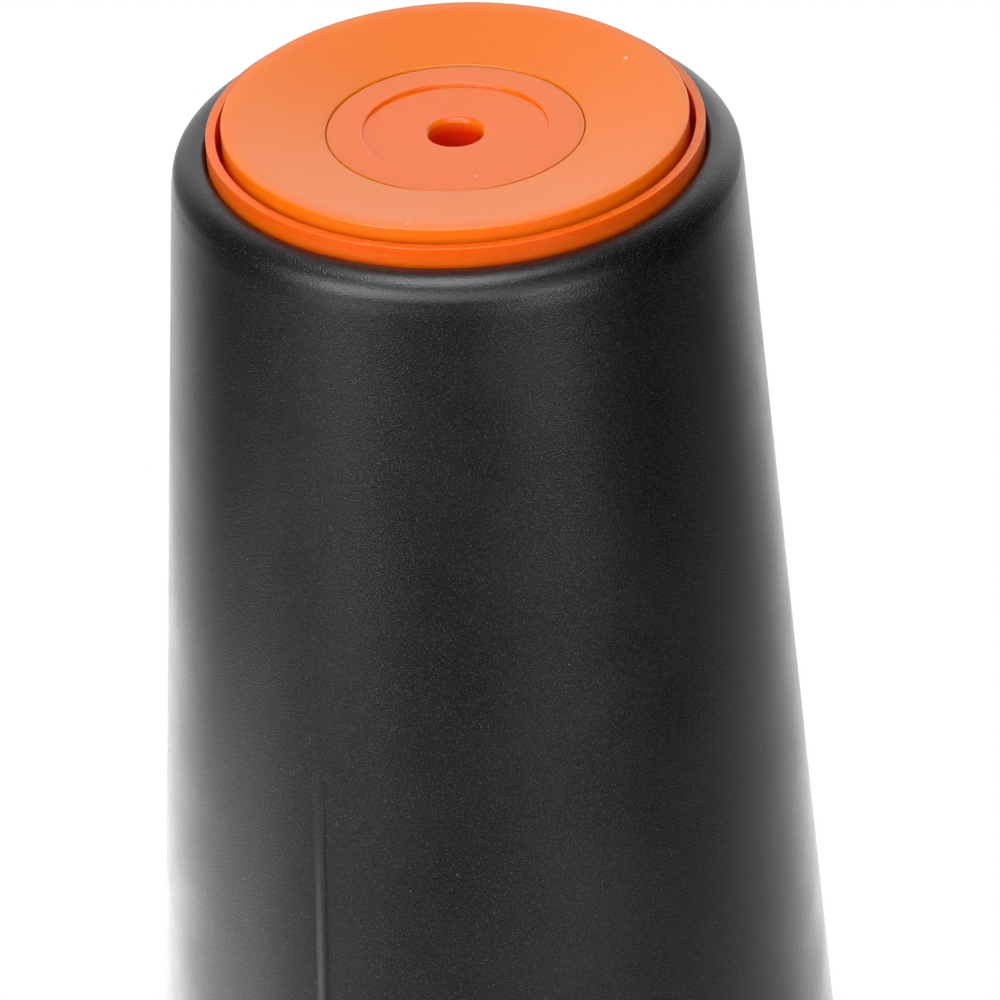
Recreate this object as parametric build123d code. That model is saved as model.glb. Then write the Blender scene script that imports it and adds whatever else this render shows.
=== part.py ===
"""Dust blower bulb for watch work, standing on its air-inlet foot with the nozzle up.

The origin is the centre of the foot, in the plane that the blower stands on, and +Z runs
up the bulb's axis to the nozzle. Heights below are measured from that plane. All sizes
are in millimetres. A rubber bulb holds a pull-out inlet valve in its mouth, and a plastic
bush in its neck carries the outlet valve and the push-fit nozzle.
"""

from build123d import *
import os
from math import cos, radians, sin

os.makedirs("parts", exist_ok=True)

# ---- driving dimensions -------------------------------------------------------------

# Bulb: a straight cone that widens from the foot, a round shoulder and a short neck.
CONE_RADIUS_AT_FOOT = 20.585
CONE_GAIN = 0.0711
WALL = 3.0
LIP_CREST = 2.3
LIP_ROUND = 1.95
LIP_TOP_RADIUS = 20.55
LIP_SLOPE_END = 4.9
LIP_BLEND = 10.0
LIP_INNER_ROUND = 0.35
MOUTH_RADIUS = 18.5
LEDGE_RADIUS = 16.0
LEDGE_BOTTOM = 13.0
LEDGE_TOP = 16.0
INNER_CONE_START = 22.0
SHOULDER_CORNER = 105.0
SHOULDER_ROUND = 24.0
SHOULDER_END = 116.0
NECK_RADIUS = 11.0
NECK_ROUND = 8.0
NECK_BORE_RADIUS = 7.0
NECK_TOP = 126.0

# Squeeze walls: the oval panels of the bulb that finger and thumb press in.
PANEL_HALF_WIDTH = 12.5
PANEL_HALF_HEIGHT = 24.0
PANEL_HEIGHT = 76.0
PANEL_GAP = 0.3

# Valve cup, the plastic shell of the pull-out inlet valve.
CUP_RADIUS = 18.2
CUP_RIM = 0.95
CUP_RIM_WALL = 0.7
CUP_SKIRT_WALL = 2.5
POCKET_FLOOR = 5.0
FLOOR_THICKNESS = 1.5
BOSS_RADIUS = 11.0
VALVE_PLATE_BOTTOM = 9.5
VALVE_PLATE_TOP = 11.0
INLET_PORT_RADIUS = 3.0
GASKET_THICKNESS = 0.8
CUP_GROOVE_MIDDLE = 8.9
CUP_GROOVE_WIDTH = 1.8
CUP_GROOVE_DEPTH = 1.4

# Foot ring, the soft dished ring in the cup's pocket.
FOOT_RADIUS = 17.05
FOOT_BORE_RADIUS = 9.5
FOOT_FLAT_RADIUS = 15.3
FOOT_DISH_DEPTH = 1.25
FOOT_EDGE_ROUND = 0.15

# Inlet plug, with the air hole, in the bore of the foot ring and the cup.
RUNNING_GAP = 0.06
PLUG_STEP_RADIUS = 6.79
PLUG_STEP_DEPTH = 0.24
PLUG_STEP_ROUND = 0.15
PLUG_DISH_DEPTH = 0.1
AIR_HOLE_RADIUS = 1.95
AIR_HOLE_ROUND = 0.35
AIR_TUBE_RADIUS = 3.6
AIR_TUBE_TOP = 6.0
CHAMBER_RADIUS = 7.6
CHAMBER_FLOOR = 3.0
RIB_TOP = 6.4
RIB_WIDTH = 0.8
FILTER_THICKNESS = 2.0
GRID_THICKNESS = 0.8
GRID_HOLE_RADIUS = 0.55
GRID_PITCH = 2.2
PLUG_GROOVE_MIDDLE = 7.3
PLUG_GROOVE_WIDTH = 1.3
PLUG_GROOVE_DEPTH = 1.12

# The two free valve discs and their cages.
INLET_FLAP_RADIUS = 5.0
INLET_FLAP_THICKNESS = 0.8
INLET_FLAP_LIFT = 0.8
OUTLET_FLAP_RADIUS = 3.3
OUTLET_FLAP_THICKNESS = 0.7
OUTLET_FLAP_LIFT = 0.7
CAGE_TOP_THICKNESS = 0.8
CAGE_POSTS = 4
FLAP_GAP = 0.2

# Neck bush and the outlet seat at its lower end.
BUSH_BORE_RADIUS = 4.6
BUSH_FLANGE_RADIUS = 10.0
BUSH_FLANGE_THICKNESS = 2.5
BUSH_BOTTOM = 112.0
BUSH_LIP_TOP = 113.0
BUSH_LIP_RADIUS = 3.6
BARB_RADIUS = 8.2
SEAT_THICKNESS = 1.2
OUTLET_PORT_RADIUS = 1.9

# Nozzle and its fine metal tip.
SPIGOT_BOTTOM = 118.0
COLLAR_RADIUS = 8.6
COLLAR_THICKNESS = 3.0
COLLAR_RIBS = 18
COLLAR_RIB_RADIUS = 0.7
NOZZLE_BASE_RADIUS = 7.4
NOZZLE_END_RADIUS = 2.7
NOZZLE_END = 158.0
NOZZLE_BORE_RADIUS = 2.2
NOZZLE_GROOVE_MIDDLE = 122.4
NOZZLE_GROOVE_WIDTH = 1.2
NOZZLE_GROOVE_DEPTH = 1.05
TIP_RADIUS = 1.5
TIP_ROOT_RADIUS = 1.9
TIP_BORE_RADIUS = 0.9
TIP_BOTTOM = 146.0
TIP_END = 171.0
TIP_CHAMFER = 0.2

# ---- lengths worked out from them ----------------------------------------------------

BUSH_TOP = NECK_TOP + BUSH_FLANGE_THICKNESS
PLUG_RADIUS = FOOT_BORE_RADIUS - RUNNING_GAP
SPIGOT_RADIUS = BUSH_BORE_RADIUS - 0.05
FILTER_TOP = RIB_TOP + FILTER_THICKNESS
COLLAR_TOP = BUSH_TOP + COLLAR_THICKNESS


# ---- helpers -------------------------------------------------------------------------


def turned(*corners):
    """Solid of revolution about Z from the corners (radius, height, corner rounding)."""
    outline = FilletPolyline(
        *[(radius, 0, height) for radius, height, _ in corners],
        radius=[rounding for _, _, rounding in corners],
        close=True,
    )
    return revolve(make_face(outline), Axis.Z)


def tube(inner_radius, outer_radius, bottom, top):
    """Plain ring or disc between two heights."""
    height = top - bottom
    body = Pos(0, 0, (bottom + top) / 2) * Cylinder(outer_radius, height)
    if inner_radius > 0:
        body -= Pos(0, 0, (bottom + top) / 2) * Cylinder(inner_radius, height)
    return body


def seal_ring(groove_floor_radius, outer_radius, middle):
    """O-ring that touches its groove's floor and stands proud to the outer radius."""
    section = (outer_radius - groove_floor_radius) / 2
    return Pos(0, 0, middle) * Torus(groove_floor_radius + section, section)


def cone_radius(height):
    """Outer radius of the bulb's straight cone at a height."""
    return CONE_RADIUS_AT_FOOT + CONE_GAIN * height


def valve_cage(inner_radius, outer_radius, bottom, stop, port_radius):
    """Cage over a valve disc: posts that guide its edge, and a spoked ring that stops it."""
    top = stop + CAGE_TOP_THICKNESS
    post_ring = tube(inner_radius, outer_radius, bottom, stop)
    gap_width = 2 * outer_radius * sin(radians(180 / CAGE_POSTS)) * 0.75
    gap = Pos(outer_radius, 0, (bottom + stop) / 2) * Box(2 * outer_radius, gap_width, stop - bottom)
    for index in range(CAGE_POSTS):
        post_ring -= Rot(0, 0, 360 * index / CAGE_POSTS) * gap
    lid = tube(port_radius, outer_radius, stop, top)
    spoke = Pos(0, 0, (stop + top) / 2) * Box(2 * inner_radius, RIB_WIDTH, CAGE_TOP_THICKNESS)
    return post_ring + lid + spoke + Rot(0, 0, 90) * spoke


# ---- bulb and its squeeze walls ------------------------------------------------------


def bulb_shell():
    """Hollow moulded bulb: lip and mouth, ledge, straight cone, shoulder, neck."""
    corner = (cone_radius(SHOULDER_CORNER), SHOULDER_CORNER)
    neck = (NECK_RADIUS, SHOULDER_END)
    fall = (corner[0] - neck[0], neck[1] - corner[1])
    length = (fall[0] ** 2 + fall[1] ** 2) ** 0.5
    offset = (neck[0] - WALL * fall[1] / length, neck[1] - WALL * fall[0] / length)
    incline = fall[1] / fall[0]
    inner_at_foot = CONE_RADIUS_AT_FOOT - WALL
    inner_height = (offset[1] + incline * (offset[0] - inner_at_foot)) / (1 + incline * CONE_GAIN)
    inner_corner = (inner_at_foot + CONE_GAIN * inner_height, inner_height)
    neck_inner_height = offset[1] + incline * (offset[0] - NECK_BORE_RADIUS)
    return turned(
        (MOUTH_RADIUS, LIP_CREST, LIP_INNER_ROUND),
        (LIP_TOP_RADIUS, LIP_CREST, LIP_ROUND),
        (cone_radius(LIP_SLOPE_END), LIP_SLOPE_END, LIP_BLEND),
        (*corner, SHOULDER_ROUND),
        (*neck, NECK_ROUND),
        (NECK_RADIUS, NECK_TOP, 0.8),
        (NECK_BORE_RADIUS, NECK_TOP, 0.3),
        (NECK_BORE_RADIUS, neck_inner_height, 0),
        (*inner_corner, SHOULDER_ROUND - WALL),
        (cone_radius(INNER_CONE_START) - WALL, INNER_CONE_START, 3.0),
        (LEDGE_RADIUS, LEDGE_TOP, 1.0),
        (LEDGE_RADIUS, LEDGE_BOTTOM, 0),
        (MOUTH_RADIUS, LEDGE_BOTTOM, 0),
    )


def panel_prism(side, margin):
    """Oval prism along X that cuts a squeeze wall out of the bulb, on side +1 or -1."""
    oval = Ellipse(PANEL_HALF_WIDTH + margin, PANEL_HALF_HEIGHT + margin)
    reach = cone_radius(SHOULDER_CORNER) + WALL
    prism = extrude(Plane.YZ * oval, amount=reach * side)
    return Pos(0, 0, PANEL_HEIGHT) * prism


def bulb():
    """Bulb wall without the two oval panels."""
    return bulb_shell() - panel_prism(1, PANEL_GAP / 2) - panel_prism(-1, PANEL_GAP / 2)


def squeeze_wall(side):
    """Oval panel of the bulb wall that is pressed in, on side +1 or -1."""
    return bulb_shell() & panel_prism(side, -PANEL_GAP / 2)


# ---- inlet valve ---------------------------------------------------------------------


def valve_cup():
    """Cup with a thin rim around the foot ring, a seal groove and the inlet valve plate."""
    top = LEDGE_BOTTOM - GASKET_THICKNESS
    groove_low = CUP_GROOVE_MIDDLE - CUP_GROOVE_WIDTH / 2
    groove_high = CUP_GROOVE_MIDDLE + CUP_GROOVE_WIDTH / 2
    groove_radius = CUP_RADIUS - CUP_GROOVE_DEPTH
    skirt_radius = CUP_RADIUS - CUP_SKIRT_WALL
    pocket_radius = CUP_RADIUS - CUP_RIM_WALL
    web_top = POCKET_FLOOR + FLOOR_THICKNESS
    return turned(
        (pocket_radius, CUP_RIM, 0.12),
        (CUP_RADIUS, CUP_RIM, 0.15),
        (CUP_RADIUS, groove_low, 0),
        (groove_radius, groove_low, 0),
        (groove_radius, groove_high, 0),
        (CUP_RADIUS, groove_high, 0),
        (CUP_RADIUS, top, 0.3),
        (skirt_radius, top, 0),
        (skirt_radius, web_top, 0.5),
        (BOSS_RADIUS, web_top, 0.5),
        (BOSS_RADIUS, VALVE_PLATE_TOP, 0.3),
        (INLET_PORT_RADIUS, VALVE_PLATE_TOP, 0),
        (INLET_PORT_RADIUS, VALVE_PLATE_BOTTOM, 0),
        (FOOT_BORE_RADIUS, VALVE_PLATE_BOTTOM, 0),
        (FOOT_BORE_RADIUS, POCKET_FLOOR, 0),
        (pocket_radius, POCKET_FLOOR, 0.2),
    )


def cup_gasket():
    """Flat washer between the cup and the ledge inside the mouth."""
    top = LEDGE_BOTTOM
    return tube(LEDGE_RADIUS + 0.2, CUP_RADIUS, top - GASKET_THICKNESS, top)


def cup_seal():
    """O-ring that seals the cup in the mouth."""
    return seal_ring(CUP_RADIUS - CUP_GROOVE_DEPTH, MOUTH_RADIUS - RUNNING_GAP, CUP_GROOVE_MIDDLE)


def foot_ring():
    """Dished ring with a slightly broken edge; its narrow flat is what the blower stands on."""
    return turned(
        (FOOT_BORE_RADIUS, FOOT_DISH_DEPTH, 0.2),
        (FOOT_FLAT_RADIUS, 0, 4.0),
        (FOOT_RADIUS, 0, FOOT_EDGE_ROUND),
        (FOOT_RADIUS, POCKET_FLOOR, 0.3),
        (FOOT_BORE_RADIUS, POCKET_FLOOR, 0),
    )


def inlet_plug():
    """Stepped plug with the air hole, its tube, filter ribs and a seal groove."""
    face = FOOT_DISH_DEPTH + 0.05
    step = face + PLUG_STEP_DEPTH
    groove_low = PLUG_GROOVE_MIDDLE - PLUG_GROOVE_WIDTH / 2
    groove_high = PLUG_GROOVE_MIDDLE + PLUG_GROOVE_WIDTH / 2
    groove_radius = PLUG_RADIUS - PLUG_GROOVE_DEPTH
    body = turned(
        (AIR_HOLE_RADIUS, step + PLUG_DISH_DEPTH, AIR_HOLE_ROUND),
        (PLUG_STEP_RADIUS, step, 0.07),
        (PLUG_STEP_RADIUS, face, PLUG_STEP_ROUND),
        (PLUG_RADIUS, face, 0.2),
        (PLUG_RADIUS, groove_low, 0),
        (groove_radius, groove_low, 0),
        (groove_radius, groove_high, 0),
        (PLUG_RADIUS, groove_high, 0),
        (PLUG_RADIUS, VALVE_PLATE_BOTTOM, 0),
        (CHAMBER_RADIUS, VALVE_PLATE_BOTTOM, 0),
        (CHAMBER_RADIUS, CHAMBER_FLOOR, 0),
        (AIR_TUBE_RADIUS, CHAMBER_FLOOR, 0),
        (AIR_TUBE_RADIUS, AIR_TUBE_TOP, 0),
        (AIR_HOLE_RADIUS, AIR_TUBE_TOP, 0),
    )
    inner = AIR_TUBE_RADIUS - 0.3
    rib_length = CHAMBER_RADIUS + 0.3 - inner
    rib_height = RIB_TOP - CHAMBER_FLOOR + 0.5
    rib = Pos(inner + rib_length / 2, 0, RIB_TOP - rib_height / 2) * Box(rib_length, RIB_WIDTH, rib_height)
    for quarter in range(4):
        body += Rot(0, 0, 45 + 90 * quarter) * rib
    return body


def plug_seal():
    """O-ring that seals and holds the plug in the cup's boss."""
    return seal_ring(PLUG_RADIUS - PLUG_GROOVE_DEPTH, PLUG_RADIUS, PLUG_GROOVE_MIDDLE)


def filter_disc():
    """Open-cell foam disc that keeps dust out of the bulb."""
    return tube(0, CHAMBER_RADIUS - 0.1, RIB_TOP, FILTER_TOP)


def filter_grid():
    """Perforated disc that holds the filter in the plug."""
    grid = tube(0, CHAMBER_RADIUS - 0.05, FILTER_TOP, FILTER_TOP + GRID_THICKNESS)
    hole = Pos(0, 0, FILTER_TOP + GRID_THICKNESS / 2) * Cylinder(GRID_HOLE_RADIUS, GRID_THICKNESS)
    grid -= hole
    for ring in (1, 2, 3):
        for index in range(6 * ring):
            grid -= Rot(0, 0, 60 * index / ring) * Pos(GRID_PITCH * ring, 0, 0) * hole
    return grid


def inlet_flap():
    """Free silicone disc that closes the inlet port from inside."""
    return tube(0, INLET_FLAP_RADIUS, VALVE_PLATE_TOP, VALVE_PLATE_TOP + INLET_FLAP_THICKNESS)


def inlet_cage():
    """Cage that guides the inlet disc and stops its lift."""
    stop = VALVE_PLATE_TOP + INLET_FLAP_THICKNESS + INLET_FLAP_LIFT
    inner = INLET_FLAP_RADIUS + FLAP_GAP
    return valve_cage(inner, inner + 1.8, VALVE_PLATE_TOP, stop, inner - 1.2)


# ---- outlet valve, nozzle ------------------------------------------------------------


def neck_bush():
    """Barbed bush in the neck, with a flange on the neck's end and a lip under the seat."""
    body_radius = NECK_BORE_RADIUS - 0.05
    return turned(
        (BUSH_LIP_RADIUS, BUSH_BOTTOM, 0),
        (NECK_BORE_RADIUS, BUSH_BOTTOM, 0),
        (BARB_RADIUS, BUSH_BOTTOM + 1.2, 0),
        (BARB_RADIUS, BUSH_BOTTOM + 1.7, 0),
        (body_radius, BUSH_BOTTOM + 2.5, 0),
        (body_radius, NECK_TOP, 0),
        (BUSH_FLANGE_RADIUS, NECK_TOP, 0.4),
        (BUSH_FLANGE_RADIUS, BUSH_TOP, 0.6),
        (BUSH_BORE_RADIUS, BUSH_TOP, 0.3),
        (BUSH_BORE_RADIUS, BUSH_LIP_TOP, 0),
        (BUSH_LIP_RADIUS, BUSH_LIP_TOP, 0),
    )


def outlet_seat():
    """Seat ring of the outlet valve."""
    return tube(OUTLET_PORT_RADIUS, SPIGOT_RADIUS, BUSH_LIP_TOP, BUSH_LIP_TOP + SEAT_THICKNESS)


def outlet_flap():
    """Free silicone disc that closes the outlet port while the bulb fills."""
    bottom = BUSH_LIP_TOP + SEAT_THICKNESS
    return tube(0, OUTLET_FLAP_RADIUS, bottom, bottom + OUTLET_FLAP_THICKNESS)


def outlet_cage():
    """Cage that guides the outlet disc and stops its lift."""
    bottom = BUSH_LIP_TOP + SEAT_THICKNESS
    stop = bottom + OUTLET_FLAP_THICKNESS + OUTLET_FLAP_LIFT
    inner = OUTLET_FLAP_RADIUS + FLAP_GAP
    return valve_cage(inner, SPIGOT_RADIUS, bottom, stop, inner - 1.2)


def nozzle():
    """Tapered nozzle: sealed spigot, ribbed collar and a long cone with a bore."""
    groove_low = NOZZLE_GROOVE_MIDDLE - NOZZLE_GROOVE_WIDTH / 2
    groove_high = NOZZLE_GROOVE_MIDDLE + NOZZLE_GROOVE_WIDTH / 2
    groove_radius = SPIGOT_RADIUS - NOZZLE_GROOVE_DEPTH
    body = turned(
        (NOZZLE_BORE_RADIUS, SPIGOT_BOTTOM, 0),
        (SPIGOT_RADIUS, SPIGOT_BOTTOM, 0.4),
        (SPIGOT_RADIUS, groove_low, 0),
        (groove_radius, groove_low, 0),
        (groove_radius, groove_high, 0),
        (SPIGOT_RADIUS, groove_high, 0),
        (SPIGOT_RADIUS, BUSH_TOP, 0),
        (COLLAR_RADIUS, BUSH_TOP, 0.4),
        (COLLAR_RADIUS, COLLAR_TOP, 0.8),
        (NOZZLE_BASE_RADIUS, COLLAR_TOP, 0.6),
        (NOZZLE_BASE_RADIUS - 0.4, COLLAR_TOP + 3.0, 4.0),
        (NOZZLE_END_RADIUS, NOZZLE_END, 0.5),
        (TIP_ROOT_RADIUS, NOZZLE_END, 0),
        (TIP_ROOT_RADIUS, TIP_BOTTOM, 0),
        (TIP_BORE_RADIUS + 0.2, TIP_BOTTOM, 0),
        (NOZZLE_BORE_RADIUS, COLLAR_TOP, 0),
    )
    rib_height = COLLAR_THICKNESS - 1.4
    rib = Pos(COLLAR_RADIUS, 0, (BUSH_TOP + COLLAR_TOP) / 2 - 0.1) * Cylinder(COLLAR_RIB_RADIUS, rib_height)
    for index in range(COLLAR_RIBS):
        body += Rot(0, 0, 360 * index / COLLAR_RIBS) * rib
    return body


def nozzle_seal():
    """O-ring that seals the nozzle's spigot in the bush."""
    return seal_ring(SPIGOT_RADIUS - NOZZLE_GROOVE_DEPTH, SPIGOT_RADIUS, NOZZLE_GROOVE_MIDDLE)


def nozzle_tip():
    """Fine metal tube with a thicker root, pressed into the nozzle flush with its end."""
    return turned(
        (TIP_BORE_RADIUS, TIP_BOTTOM, 0),
        (TIP_ROOT_RADIUS, TIP_BOTTOM, 0),
        (TIP_ROOT_RADIUS, NOZZLE_END, 0),
        (TIP_RADIUS, NOZZLE_END, 0),
        (TIP_RADIUS, TIP_END - TIP_CHAMFER, 0),
        (TIP_RADIUS - TIP_CHAMFER, TIP_END, 0),
        (TIP_BORE_RADIUS, TIP_END, 0),
    )


# ---- one STEP file for each piece ----------------------------------------------------

PIECES = {
    "bulb": bulb(),
    "squeeze_wall_right": squeeze_wall(1),
    "squeeze_wall_left": squeeze_wall(-1),
    "valve_cup": valve_cup(),
    "cup_gasket": cup_gasket(),
    "cup_seal": cup_seal(),
    "foot_ring": foot_ring(),
    "inlet_plug": inlet_plug(),
    "plug_seal": plug_seal(),
    "filter_disc": filter_disc(),
    "filter_grid": filter_grid(),
    "inlet_flap": inlet_flap(),
    "inlet_cage": inlet_cage(),
    "neck_bush": neck_bush(),
    "outlet_seat": outlet_seat(),
    "outlet_flap": outlet_flap(),
    "outlet_cage": outlet_cage(),
    "nozzle": nozzle(),
    "nozzle_seal": nozzle_seal(),
    "nozzle_tip": nozzle_tip(),
}

for name, piece in PIECES.items():
    export_step(piece, f"parts/{name}.step")
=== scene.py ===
"""Looks for the dust blower bulb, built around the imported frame.

The blower stands on its inlet foot with the nozzle up (+Z), as the frame has it. The main
camera looks at the foot from below and is rolled over, so the foot is at the top of the
picture, as when the blower is turned over in the hand.
"""

import math

import bpy
import numpy as np
from mathutils import Matrix, Vector


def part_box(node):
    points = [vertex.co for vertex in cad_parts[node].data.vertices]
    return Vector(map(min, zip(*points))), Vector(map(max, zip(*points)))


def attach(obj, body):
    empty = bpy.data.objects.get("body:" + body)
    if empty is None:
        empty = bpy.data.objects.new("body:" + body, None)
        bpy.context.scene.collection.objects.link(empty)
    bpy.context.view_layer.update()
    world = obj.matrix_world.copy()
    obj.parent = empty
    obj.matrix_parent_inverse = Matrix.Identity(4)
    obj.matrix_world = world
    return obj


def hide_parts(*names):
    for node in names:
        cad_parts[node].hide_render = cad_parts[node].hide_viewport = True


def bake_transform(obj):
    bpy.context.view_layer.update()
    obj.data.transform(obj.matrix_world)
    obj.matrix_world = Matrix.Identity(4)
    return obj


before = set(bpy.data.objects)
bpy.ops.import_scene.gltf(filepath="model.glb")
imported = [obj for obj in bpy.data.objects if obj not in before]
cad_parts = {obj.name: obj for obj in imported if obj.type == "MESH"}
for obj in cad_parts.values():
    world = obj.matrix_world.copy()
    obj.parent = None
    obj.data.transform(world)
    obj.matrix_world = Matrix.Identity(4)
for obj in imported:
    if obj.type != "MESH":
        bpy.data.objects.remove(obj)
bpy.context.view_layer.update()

MM = 0.001

# ---- sizes taken from the frame ------------------------------------------------------


def radius_of(node):
    """Largest radius of a CAD node about Z."""
    low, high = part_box(node)
    return (high.y - low.y) / 2


def heights_of(node):
    """Lowest and highest Z of a CAD node."""
    low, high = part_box(node)
    return low.z, high.z


LIP_CREST, NECK_TOP = heights_of("bulb")
CUP_RIM, CUP_TOP = heights_of("valve_cup")
CUP_RADIUS = radius_of("valve_cup")
FOOT_RADIUS = radius_of("foot_ring")
POCKET_FLOOR = heights_of("foot_ring")[1]
PLUG_FACE, PLUG_TOP = heights_of("inlet_plug")
PLUG_RADIUS = radius_of("inlet_plug")
BUSH_BOTTOM, BUSH_TOP = heights_of("neck_bush")
BUSH_FLANGE_RADIUS = radius_of("neck_bush")
SPIGOT_BOTTOM, NOZZLE_END = heights_of("nozzle")
TIP_BOTTOM, TIP_END = heights_of("nozzle_tip")
TIP_ROOT_RADIUS = radius_of("nozzle_tip")
LEDGE_BOTTOM = heights_of("cup_gasket")[1]

# ---- bulb sizes, as in the CAD model -------------------------------------------------

CONE_RADIUS_AT_FOOT = 20.585 * MM
CONE_GAIN = 0.0711
WALL = 3.0 * MM
LIP_ROUND = 1.95 * MM
LIP_TOP_RADIUS = 20.55 * MM
LIP_SLOPE_END = 4.9 * MM
LIP_BLEND = 10.0 * MM
LIP_INNER_ROUND = 0.35 * MM
MOUTH_RADIUS = 18.5 * MM
LEDGE_RADIUS = 16.0 * MM
LEDGE_TOP = 16.0 * MM
INNER_CONE_START = 22.0 * MM
SHOULDER_CORNER = 105.0 * MM
SHOULDER_ROUND = 24.0 * MM
SHOULDER_END = 116.0 * MM
NECK_RADIUS = 11.0 * MM
NECK_ROUND = 8.0 * MM
NECK_BORE_RADIUS = 7.0 * MM

# The soft lip grips the cup: just inside the mouth it stands closer than the CAD's bore.
LIP_HUG = 0.17 * MM
LIP_HUG_END = 5.5 * MM
LIP_HUG_EASED = 6.5 * MM

# Mould parting ridge, on the -Y and +Y sides; it fades out towards the mouth.
RIDGE_HEIGHT = 0.16 * MM
RIDGE_WIDTH = 0.85 * MM
RIDGE_DROP = 0.12 * MM
RIDGE_FADE_START = 38.0 * MM
RIDGE_FADE_END = 62.0 * MM
RIDGE_SPREAD_DEGREES = 3.6

# ---- valve sizes, as in the CAD model but for the foot's flat and the rounded edges ---

EDGE = 0.1 * MM
CUP_RIM_WALL = 0.7 * MM
CUP_SKIRT_WALL = 2.5 * MM
CUP_GROOVE_LOW = 8.0 * MM
CUP_GROOVE_HIGH = 9.8 * MM
CUP_GROOVE_DEPTH = 1.4 * MM
CUP_WEB_TOP = 6.5 * MM
BOSS_RADIUS = 11.0 * MM
VALVE_PLATE_BOTTOM = 9.5 * MM
VALVE_PLATE_TOP = 11.0 * MM
INLET_PORT_RADIUS = 3.0 * MM
AIR_HOLE_RADIUS = 1.95 * MM
AIR_TUBE_RADIUS = 3.6 * MM
AIR_TUBE_TOP = 6.0 * MM
PLUG_STEP_RADIUS = 6.79 * MM
PLUG_STEP_DEPTH = 0.24 * MM
PLUG_DISH_DEPTH = 0.1 * MM
PLUG_GROOVE_LOW = 6.65 * MM
PLUG_GROOVE_HIGH = 7.95 * MM
PLUG_GROOVE_DEPTH = 1.12 * MM
CHAMBER_RADIUS = 7.6 * MM
CHAMBER_FLOOR = 3.0 * MM

# The foot's flat starts further out than the CAD's, with a softer bend down to it.
FOOT_DISH_DEPTH = 1.25 * MM
FOOT_FLAT_RADIUS = 16.2 * MM
FOOT_DISH_ROUND = 6.0 * MM

# ---- neck and nozzle sizes, as in the CAD model but for lower collar ribs -------------

BUSH_BORE_RADIUS = 4.6 * MM
BUSH_LIP_RADIUS = 3.6 * MM
BUSH_LIP_THICKNESS = 1.0 * MM
BARB_RADIUS = 8.2 * MM
BARB_HEIGHTS = (1.2 * MM, 1.7 * MM, 2.5 * MM)
SPIGOT_RADIUS = 4.55 * MM
SPIGOT_GROOVE_RADIUS = 3.5 * MM
SPIGOT_GROOVE_LOW = 121.8 * MM
SPIGOT_GROOVE_HIGH = 123.0 * MM
COLLAR_RADIUS = 8.6 * MM
COLLAR_TOP = BUSH_TOP + 3.0 * MM
COLLAR_RIBS = 18
COLLAR_RIB_RISE = 0.6 * MM
NOZZLE_BASE_RADIUS = 7.4 * MM
NOZZLE_END_RADIUS = 2.7 * MM
NOZZLE_BORE_RADIUS = 2.2 * MM
NOZZLE_BORE_END_RADIUS = 1.1 * MM
TIP_RADIUS = 1.5 * MM
TIP_BORE_RADIUS = 0.9 * MM


# ---- turned meshes -------------------------------------------------------------------

FULL_TURN_COLUMNS = 288


def smoothstep(value):
    value = np.clip(value, 0.0, 1.0)
    return value * value * (3.0 - 2.0 * value)


def rounded_profile(corners, closed, arc_steps, longest):
    """Points and edge normals of an outline of (radius, height, rounding) corners.

    Returns (points, normals at each edge's start, normals at each edge's end). The
    outline runs with the solid on its left, so each normal points out of the solid.
    A rounding gets arc_steps edges; a straight edge over longest is divided.
    """
    count = len(corners)
    points = []
    places = [np.array(corner[:2], float) for corner in corners]
    for index, corner in enumerate(corners):
        here = places[index]
        rounding = corner[2]
        at_end = not closed and index in (0, count - 1)
        before = places[index - 1]
        after = places[(index + 1) % count]
        if rounding <= 0 or at_end:
            points.append((here, None))
            continue
        back = (before - here) / np.linalg.norm(before - here)
        ahead = (after - here) / np.linalg.norm(after - here)
        half = math.acos(float(np.clip(back @ ahead, -1, 1))) / 2
        reach = rounding / math.tan(half)
        bisector = (back + ahead) / np.linalg.norm(back + ahead)
        centre = here + bisector * rounding / math.sin(half)
        first = here + back * reach - centre
        last = here + ahead * reach - centre
        turn = math.atan2(first[0] * last[1] - first[1] * last[0], first @ last)
        side = 1.0 if turn > 0 else -1.0
        for step in range(arc_steps + 1):
            angle = turn * step / arc_steps
            spoke = np.array([
                first[0] * math.cos(angle) - first[1] * math.sin(angle),
                first[0] * math.sin(angle) + first[1] * math.cos(angle),
            ])
            points.append((centre + spoke, side * spoke / rounding))
    spots, normals_in, normals_out = [], [], []
    total = len(points)
    edges = total if closed else total - 1
    for index in range(edges):
        (start, start_normal), (end, end_normal) = points[index], points[(index + 1) % total]
        length = np.linalg.norm(end - start)
        along = (end - start) / length
        flat = np.array([along[1], -along[0]])
        # A straight edge between two roundings has equal normals at its ends.
        on_arc = start_normal is not None and end_normal is not None
        on_arc = on_arc and start_normal @ end_normal < 0.9999999 and start_normal @ flat > 0.7
        pieces = 1 if longest is None or on_arc else max(1, math.ceil(length / longest))
        for piece in range(pieces):
            spots.append(start + (end - start) * piece / pieces)
            normals_in.append(start_normal if on_arc else flat)
            normals_out.append(end_normal if on_arc else flat)
    if not closed:
        spots.append(points[-1][0])
    return np.array(spots), np.array(normals_in), np.array(normals_out)


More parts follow.
